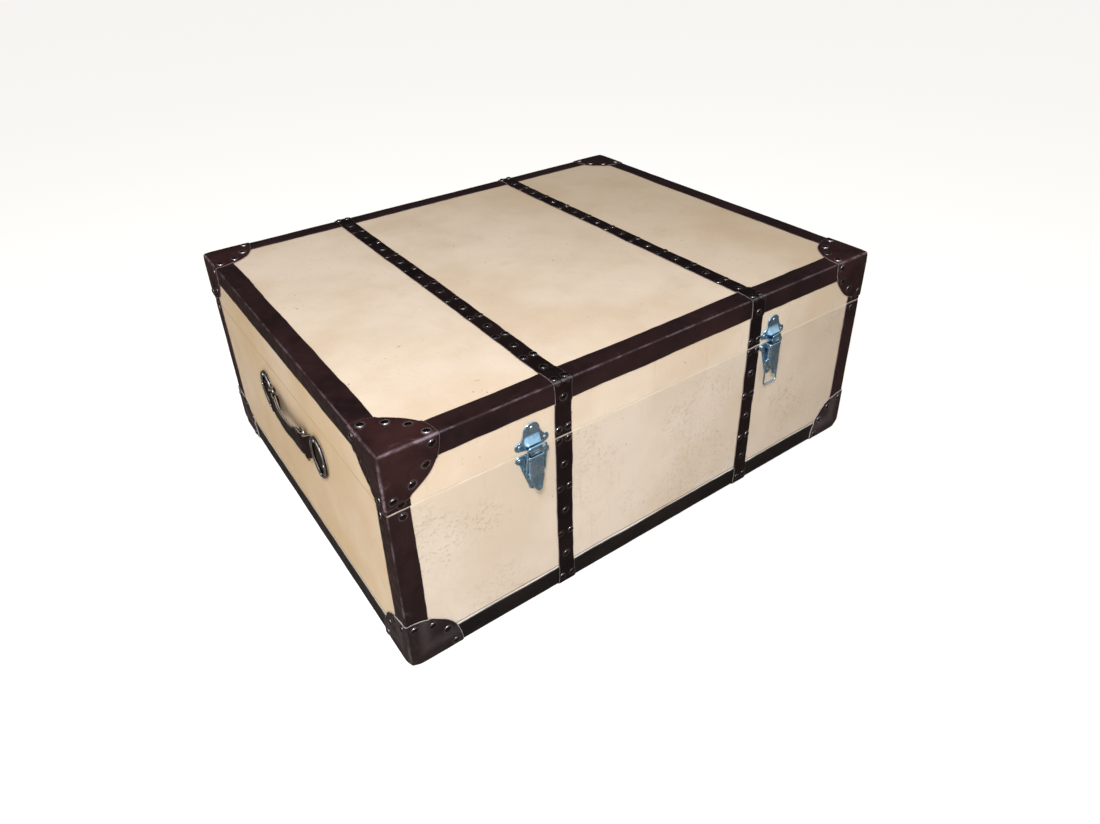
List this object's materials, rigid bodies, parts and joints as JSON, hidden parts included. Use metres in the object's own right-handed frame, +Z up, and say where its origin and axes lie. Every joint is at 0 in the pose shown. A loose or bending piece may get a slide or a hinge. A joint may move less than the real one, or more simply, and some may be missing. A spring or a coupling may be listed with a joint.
{
  "type": "storage trunk",
  "caption": "Rectangular canvas-covered wooden trunk with hinged lid, leather edges, corners and straps set with domed nails, steel draw bolts and end handles.",
  "frame": {"origin": "on the floor, under the middle of the trunk", "axes": "+X along the front to the trunk's right-hand end as seen from the front, +Y from the front to the hinged back, +Z up. The latches face -Y."},
  "size_m": [1.0276, 0.8274, 0.4026],
  "materials": {
    "wood": "planed pine",
    "canvas": "sized woven canvas, slightly stained",
    "lining": "plain woven cotton",
    "rim_wood": "pale painted moulding",
    "leather": "satin, worn paler at the folds",
    "handle_leather": "satin, worn",
    "nail_bronze": "dark bronzed, glossy",
    "latch_steel": "bright bluish zinc plate",
    "handle_steel": "worn plate",
    "hinge_steel": "plain"
  },
  "bodies": {
    "base": {"base_front_board": "wood", "base_back_board": "wood", "base_left_board": "wood", "base_right_board": "wood", "base_bottom_board": "wood", "base_canvas": "canvas", "base_lining": "lining", "base_rim": "rim_wood", "base_long_bindings": "leather", "base_edge_bindings": "leather", "base_corner_front_left": "leather", "base_corner_front_right": "leather", "base_corner_back_left": "leather", "base_corner_back_right": "leather", "base_strap_left": "leather", "base_strap_right": "leather", "base_nails": "nail_bronze", "base_screws": "latch_steel", "latch_plate_left": "latch_steel", "latch_plate_right": "latch_steel", "lever_pins": "latch_steel", "hinge_lower_leaf_left": "hinge_steel", "hinge_lower_leaf_right": "hinge_steel", "hinge_pins": "hinge_steel", "handle_plates_left": "handle_steel", "handle_plates_right": "handle_steel", "handle_tabs_left": "handle_leather", "handle_tabs_right": "handle_leather", "handle_rivets": "handle_steel"},
    "lid": {"lid_top_board": "wood", "lid_front_rail": "wood", "lid_back_rail": "wood", "lid_left_rail": "wood", "lid_right_rail": "wood", "lid_canvas": "canvas", "lid_lining": "lining", "lid_long_bindings": "leather", "lid_edge_bindings": "leather", "lid_corner_front_left": "leather", "lid_corner_front_right": "leather", "lid_corner_back_left": "leather", "lid_corner_back_right": "leather", "lid_strap_left": "leather", "lid_strap_right": "leather", "lid_nails": "nail_bronze", "lid_screws": "latch_steel", "catch_left": "latch_steel", "catch_right": "latch_steel", "hinge_upper_leaf_left": "hinge_steel", "hinge_upper_leaf_right": "hinge_steel"},
    "lever_left": {"latch_lever_left": "latch_steel"},
    "bail_left": {"latch_bail_left": "latch_steel"},
    "lever_right": {"latch_lever_right": "latch_steel"},
    "bail_right": {"latch_bail_right": "latch_steel"},
    "grip_left": {"handle_grip_left": "handle_leather"},
    "ring_front_left": {"handle_ring_front_left": "handle_steel"},
    "ring_back_left": {"handle_ring_back_left": "handle_steel"},
    "grip_right": {"handle_grip_right": "handle_leather"},
    "ring_front_right": {"handle_ring_front_right": "handle_steel"},
    "ring_back_right": {"handle_ring_back_right": "handle_steel"}
  },
  "joints": [
    {"name": "lid_hinge", "type": "hinge", "parent": "base", "child": "lid", "pos_m": [-0.002, 0.403, 0.301], "axis": [-1, 0, 0], "range_deg": [0, 100]},
    {"name": "lever_hinge_left", "type": "hinge", "parent": "base", "child": "lever_left", "pos_m": [-0.267, -0.406, 0.2925], "axis": [-1, 0, 0], "range_deg": [0, 130]},
    {"name": "lever_hinge_right", "type": "hinge", "parent": "base", "child": "lever_right", "pos_m": [0.2468, -0.406, 0.2925], "axis": [-1, 0, 0], "range_deg": [0, 130]},
    {"name": "bail_hinge_left", "type": "hinge", "parent": "lever_left", "child": "bail_left", "pos_m": [-0.267, -0.404, 0.265], "axis": [-1, 0, 0], "range_deg": [-303, 0]},
    {"name": "bail_hinge_right", "type": "hinge", "parent": "lever_right", "child": "bail_right", "pos_m": [0.2468, -0.404, 0.265], "axis": [1, 0, 0], "range_deg": [-172, 0]},
    {"name": "grip_pull_left", "type": "slide", "parent": "base", "child": "grip_left", "axis": [-1, 0, 0], "range_m": [0, 0.009]},
    {"name": "ring_hinge_front_left", "type": "hinge", "parent": "base", "child": "ring_front_left", "pos_m": [-0.5045, -0.0985, 0.235], "axis": [0, 0, 1], "range_deg": [0, 33]},
    {"name": "ring_hinge_back_left", "type": "hinge", "parent": "base", "child": "ring_back_left", "pos_m": [-0.5045, 0.0665, 0.235], "axis": [0, 0, -1], "range_deg": [0, 33]},
    {"name": "grip_pull_right", "type": "slide", "parent": "base", "child": "grip_right", "axis": [1, 0, 0], "range_m": [0, 0.009]},
    {"name": "ring_hinge_front_right", "type": "hinge", "parent": "base", "child": "ring_front_right", "pos_m": [0.5045, -0.0985, 0.235], "axis": [0, 0, -1], "range_deg": [0, 33]},
    {"name": "ring_hinge_back_right", "type": "hinge", "parent": "base", "child": "ring_back_right", "pos_m": [0.5045, 0.0665, 0.235], "axis": [0, 0, 1], "range_deg": [0, 33]}
  ],
  "couplings": [
    {"joint": "bail_hinge_left", "follows": "lever_hinge_left", "ratio": -2.327},
    {"joint": "ring_hinge_front_left", "follows": "grip_pull_left", "rad_per_m": 61.99},
    {"joint": "ring_hinge_back_left", "follows": "grip_pull_left", "rad_per_m": 61.99},
    {"joint": "ring_hinge_front_right", "follows": "grip_pull_right", "rad_per_m": 61.99},
    {"joint": "ring_hinge_back_right", "follows": "grip_pull_right", "rad_per_m": 61.99}
  ]
}
